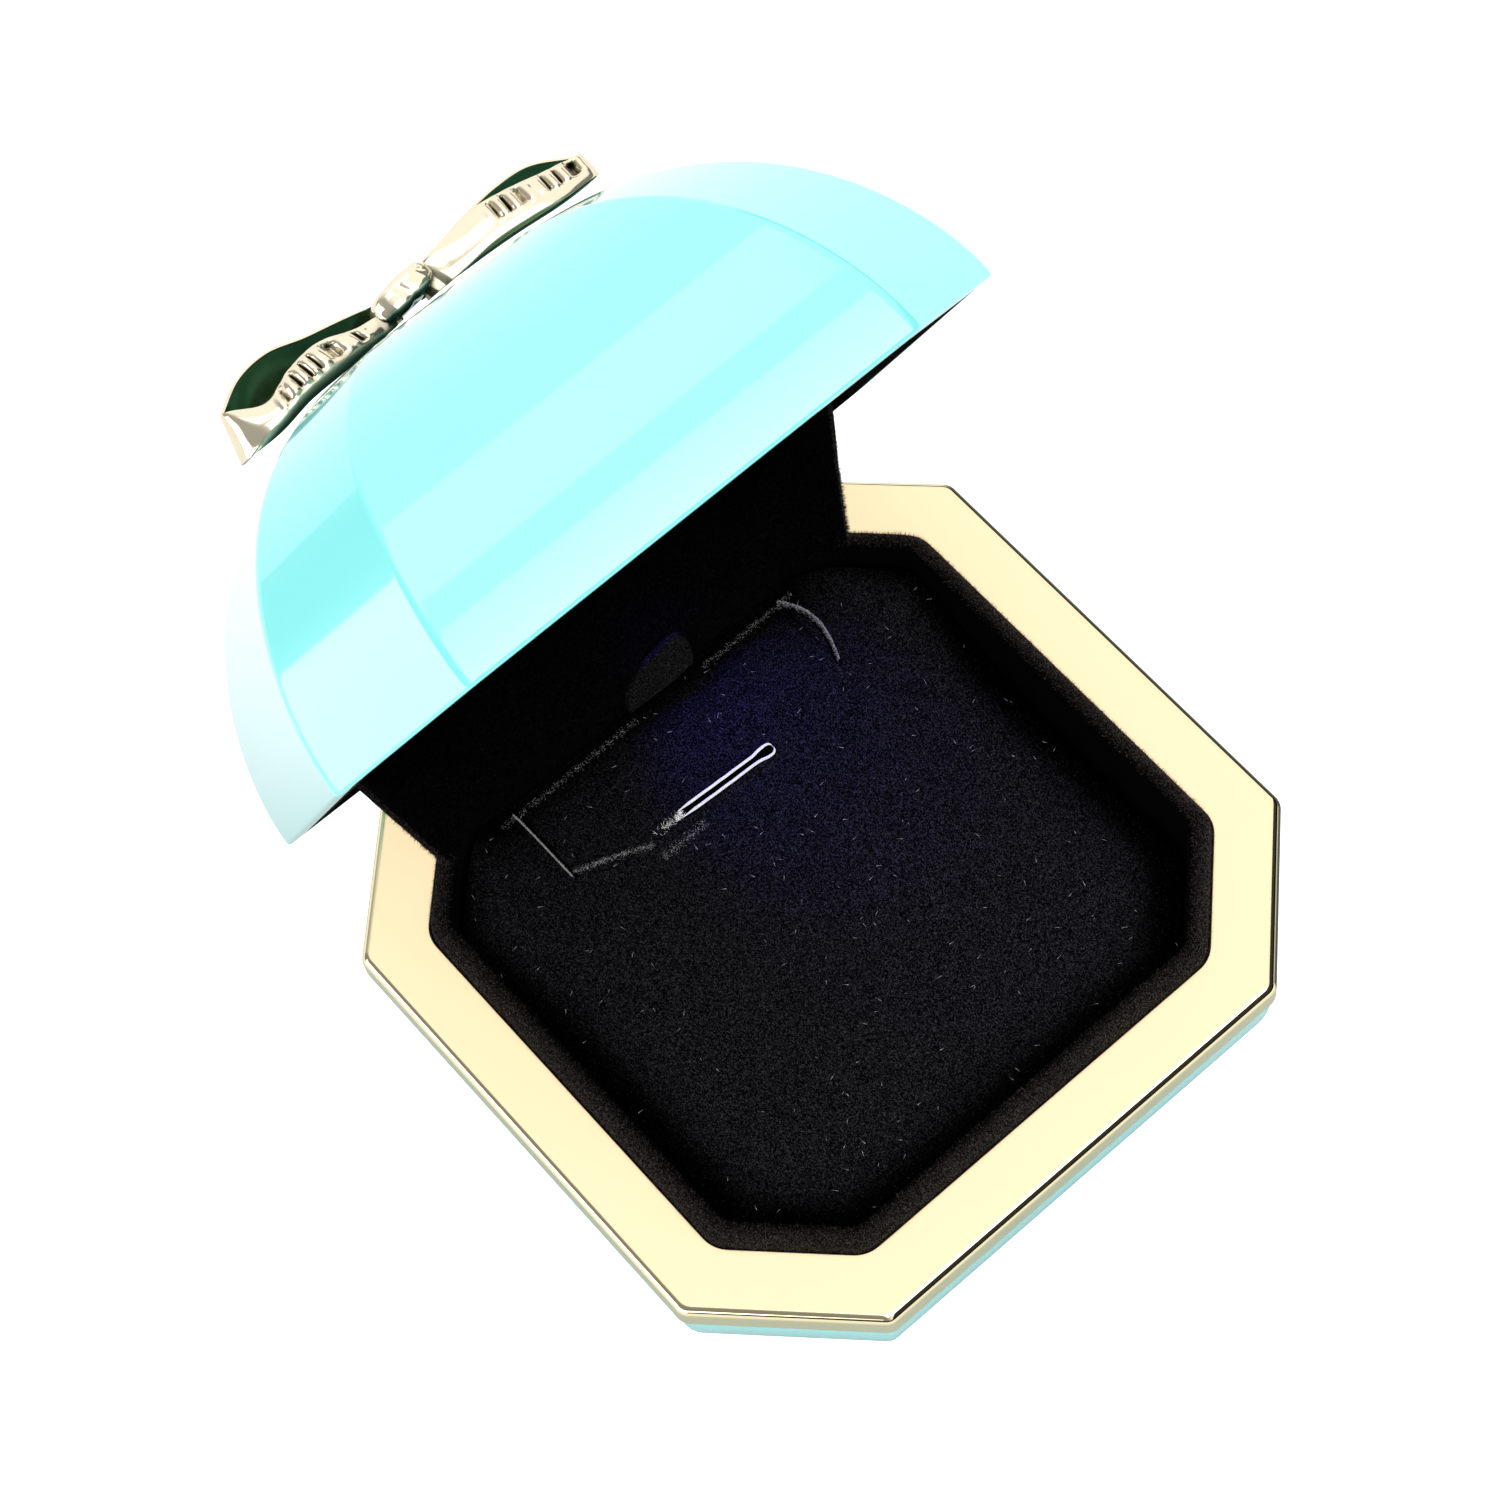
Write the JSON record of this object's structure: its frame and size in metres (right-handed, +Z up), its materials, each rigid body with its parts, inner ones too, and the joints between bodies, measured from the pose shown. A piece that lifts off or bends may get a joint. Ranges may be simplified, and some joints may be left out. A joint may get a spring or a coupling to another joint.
{
  "type": "ring box",
  "caption": "Octagonal presentation box for a ring, with a gold-plated rim, velvet tray and lift-out pad, hinged domed lid with a lamp inside and a ribbon bow on top.",
  "frame": {"origin": "centre of the felt foot's underside, on the plane the box stands on", "axes": "+Z up, -Y to the front, away from the hinge, +X to the right seen from the front; the hinge axis runs along X"},
  "size_m": [0.0824, 0.1017, 0.0953],
  "materials": {
    "lacquer": "high-gloss lacquer",
    "gold": "polished pale gold plating",
    "velvet": "short-pile flock velvet",
    "foam": "soft foam",
    "board": "grey board",
    "steel": "plain",
    "spring_steel": "spring temper",
    "white_plastic": "moulded",
    "circuit_board": "solder mask",
    "clear_plastic": "clear",
    "black_plastic": "moulded"
  },
  "bodies": {
    "base": {"base_shell": "lacquer", "gold_rim": "gold", "foot_pad": "velvet", "base_weight": "steel", "base_liner": "velvet", "hinge_cover": "velvet", "hinge_base_leaf": "steel", "hinge_pin": "steel", "hinge_spring": "spring_steel", "base_screw_left": "steel", "base_screw_right": "steel"},
    "lid": {"lid_shell": "lacquer", "lid_liner": "velvet", "hinge_lid_leaf": "steel", "lid_screw_left": "steel", "lid_screw_right": "steel", "lamp_holder": "white_plastic", "lamp_board": "circuit_board", "lamp": "clear_plastic", "lamp_lens": "clear_plastic", "coin_cell_lower": "steel", "coin_cell_upper": "steel", "battery_contact": "spring_steel", "switch_body": "black_plastic", "bow_left_loop": "gold", "bow_right_loop": "gold", "bow_knot": "gold", "bow_post": "gold", "bow_push_nut": "spring_steel"},
    "pad": {"pad_cover": "velvet", "pad_foam": "foam", "pad_board": "board", "pull_tab": "velvet"},
    "switch": {"switch_plunger": "white_plastic"}
  },
  "joints": [
    {"name": "lid_hinge", "type": "hinge", "parent": "base", "child": "lid", "pos_m": [0, 0.0386, 0.01995], "axis": [-1, 0, 0], "range_deg": [-65.3, 0], "deforming": ["hinge_cover", "hinge_spring"]},
    {"name": "pad_lift", "type": "slide", "parent": "base", "child": "pad", "axis": [0, 0, 1], "range_m": [0, 0.012]},
    {"name": "switch_press", "type": "slide", "parent": "lid", "child": "switch", "axis": [0, -0.9085, -0.4179], "range_m": [-0.00112, 0]}
  ],
  "couplings": [
    {"joint": "switch_press", "follows": "lid_hinge", "m_per_rad": 0.000965}
  ]
}
